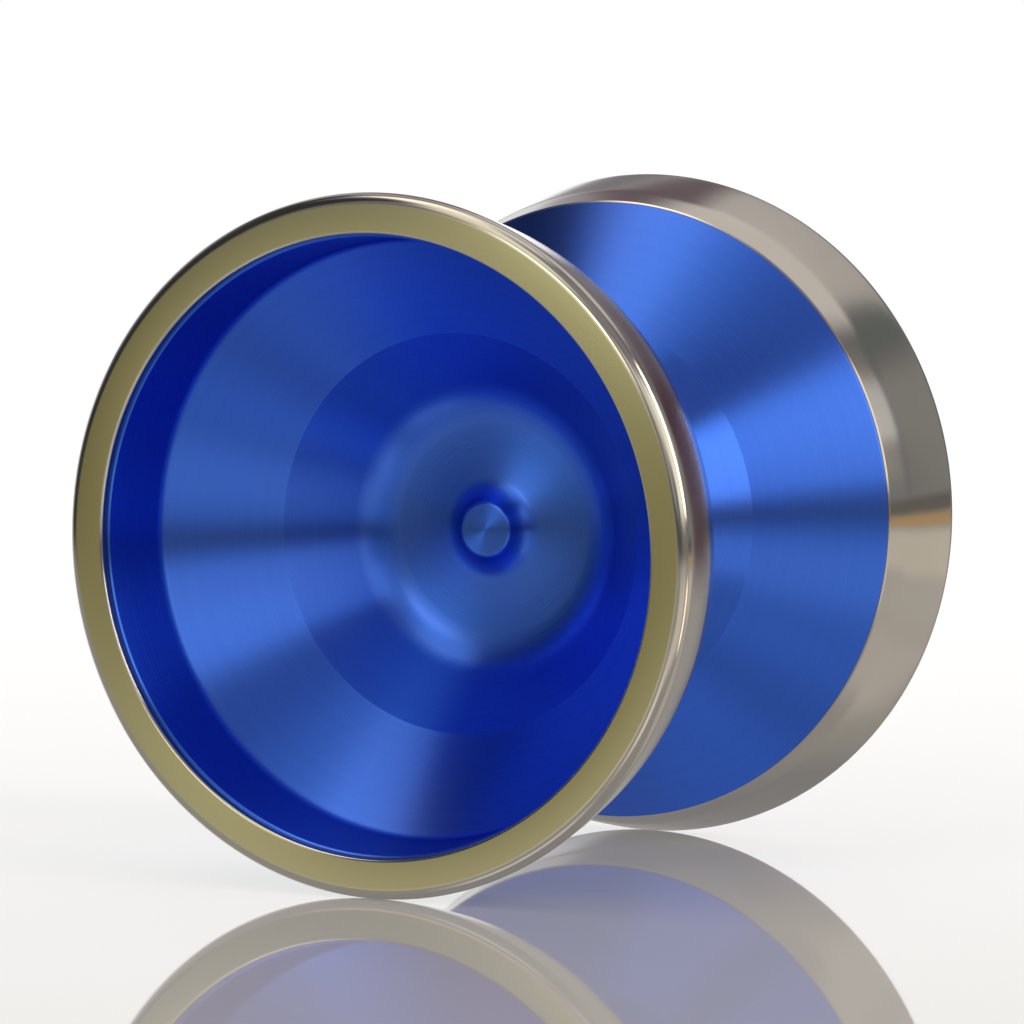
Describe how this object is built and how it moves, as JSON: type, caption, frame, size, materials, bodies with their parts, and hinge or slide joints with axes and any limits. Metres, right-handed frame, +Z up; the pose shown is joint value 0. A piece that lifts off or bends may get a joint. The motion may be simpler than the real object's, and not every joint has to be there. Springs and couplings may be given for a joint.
{
  "type": "yo-yo",
  "caption": "Bimetal yo-yo: two flared blue aluminium halves with polished steel rim rings, joined by a threaded axle through a sealed ball bearing.",
  "frame": {"origin": "middle of the axle, on the spin axis half way between the two halves", "axes": "+X along the spin axis from the left half to the right half, +Z up, resting on both rims"},
  "size_m": [0.049, 0.055, 0.055],
  "materials": {
    "anodised_blue": "fine concentric turning marks under a bright blue anodised coat",
    "polished_steel": "mirror-polished stainless steel",
    "bearing_steel": "ground and polished bearing steel",
    "axle_steel": "dark zinc-plated threaded steel",
    "cage_steel": "pressed steel",
    "silicone": "matte translucent white silicone"
  },
  "bodies": {
    "left_half": {"left_shell": "anodised_blue", "left_weight_ring": "polished_steel", "left_response_pad": "silicone", "axle": "axle_steel"},
    "inner_race": {"bearing_inner_race": "bearing_steel"},
    "right_half": {"right_shell": "anodised_blue", "right_weight_ring": "polished_steel", "right_response_pad": "silicone"},
    "outer_race": {"bearing_outer_race": "bearing_steel", "bearing_shield_left": "bearing_steel", "bearing_shield_right": "bearing_steel", "bearing_snap_ring_left": "bearing_steel", "bearing_snap_ring_right": "bearing_steel"},
    "cage": {"bearing_cage": "cage_steel"},
    "ball_01": {"bearing_ball_01": "bearing_steel"},
    "ball_02": {"bearing_ball_02": "bearing_steel"},
    "ball_03": {"bearing_ball_03": "bearing_steel"},
    "ball_04": {"bearing_ball_04": "bearing_steel"},
    "ball_05": {"bearing_ball_05": "bearing_steel"},
    "ball_06": {"bearing_ball_06": "bearing_steel"},
    "ball_07": {"bearing_ball_07": "bearing_steel"},
    "ball_08": {"bearing_ball_08": "bearing_steel"},
    "ball_09": {"bearing_ball_09": "bearing_steel"},
    "ball_10": {"bearing_ball_10": "bearing_steel"}
  },
  "joints": [
    {"name": "unscrew_turn", "type": "hinge", "parent": "left_half", "child": "inner_race", "pos_m": [0, 0, 0], "axis": [1, 0, 0], "range_deg": [0, 2520]},
    {"name": "unscrew_slide", "type": "slide", "parent": "inner_race", "child": "right_half", "axis": [1, 0, 0], "range_m": [0, 0.00491]},
    {"name": "bearing_spin", "type": "hinge", "parent": "inner_race", "child": "outer_race", "pos_m": [0, 0, 0], "axis": [1, 0, 0], "continuous": true},
    {"name": "cage_spin", "type": "hinge", "parent": "inner_race", "child": "cage", "pos_m": [0, 0, 0], "axis": [1, 0, 0], "continuous": true},
    {"name": "ball_01_spin", "type": "hinge", "parent": "cage", "child": "ball_01", "pos_m": [0, 0.00476, 0], "axis": [1, 0, 0], "continuous": true},
    {"name": "ball_02_spin", "type": "hinge", "parent": "cage", "child": "ball_02", "pos_m": [0, 0.00385, 0.0028], "axis": [1, 0, 0], "continuous": true},
    {"name": "ball_03_spin", "type": "hinge", "parent": "cage", "child": "ball_03", "pos_m": [0, 0.00147, 0.00453], "axis": [1, 0, 0], "continuous": true},
    {"name": "ball_04_spin", "type": "hinge", "parent": "cage", "child": "ball_04", "pos_m": [0, -0.00147, 0.00453], "axis": [1, 0, 0], "continuous": true},
    {"name": "ball_05_spin", "type": "hinge", "parent": "cage", "child": "ball_05", "pos_m": [0, -0.00385, 0.0028], "axis": [1, 0, 0], "continuous": true},
    {"name": "ball_06_spin", "type": "hinge", "parent": "cage", "child": "ball_06", "pos_m": [0, -0.00476, 0], "axis": [1, 0, 0], "continuous": true},
    {"name": "ball_07_spin", "type": "hinge", "parent": "cage", "child": "ball_07", "pos_m": [0, -0.00385, -0.0028], "axis": [1, 0, 0], "continuous": true},
    {"name": "ball_08_spin", "type": "hinge", "parent": "cage", "child": "ball_08", "pos_m": [0, -0.00147, -0.00453], "axis": [1, 0, 0], "continuous": true},
    {"name": "ball_09_spin", "type": "hinge", "parent": "cage", "child": "ball_09", "pos_m": [0, 0.00147, -0.00453], "axis": [1, 0, 0], "continuous": true},
    {"name": "ball_10_spin", "type": "hinge", "parent": "cage", "child": "ball_10", "pos_m": [0, 0.00385, -0.0028], "axis": [1, 0, 0], "continuous": true}
  ],
  "couplings": [
    {"joint": "unscrew_slide", "follows": "unscrew_turn", "m_per_rad": 0.00011141},
    {"joint": "cage_spin", "follows": "bearing_spin", "ratio": 0.5834},
    {"joint": "ball_01_spin", "follows": "bearing_spin", "ratio": 2.9157},
    {"joint": "ball_02_spin", "follows": "bearing_spin", "ratio": 2.9157},
    {"joint": "ball_03_spin", "follows": "bearing_spin", "ratio": 2.9157},
    {"joint": "ball_04_spin", "follows": "bearing_spin", "ratio": 2.9157},
    {"joint": "ball_05_spin", "follows": "bearing_spin", "ratio": 2.9157},
    {"joint": "ball_06_spin", "follows": "bearing_spin", "ratio": 2.9157},
    {"joint": "ball_07_spin", "follows": "bearing_spin", "ratio": 2.9157},
    {"joint": "ball_08_spin", "follows": "bearing_spin", "ratio": 2.9157},
    {"joint": "ball_09_spin", "follows": "bearing_spin", "ratio": 2.9157},
    {"joint": "ball_10_spin", "follows": "bearing_spin", "ratio": 2.9157}
  ]
}
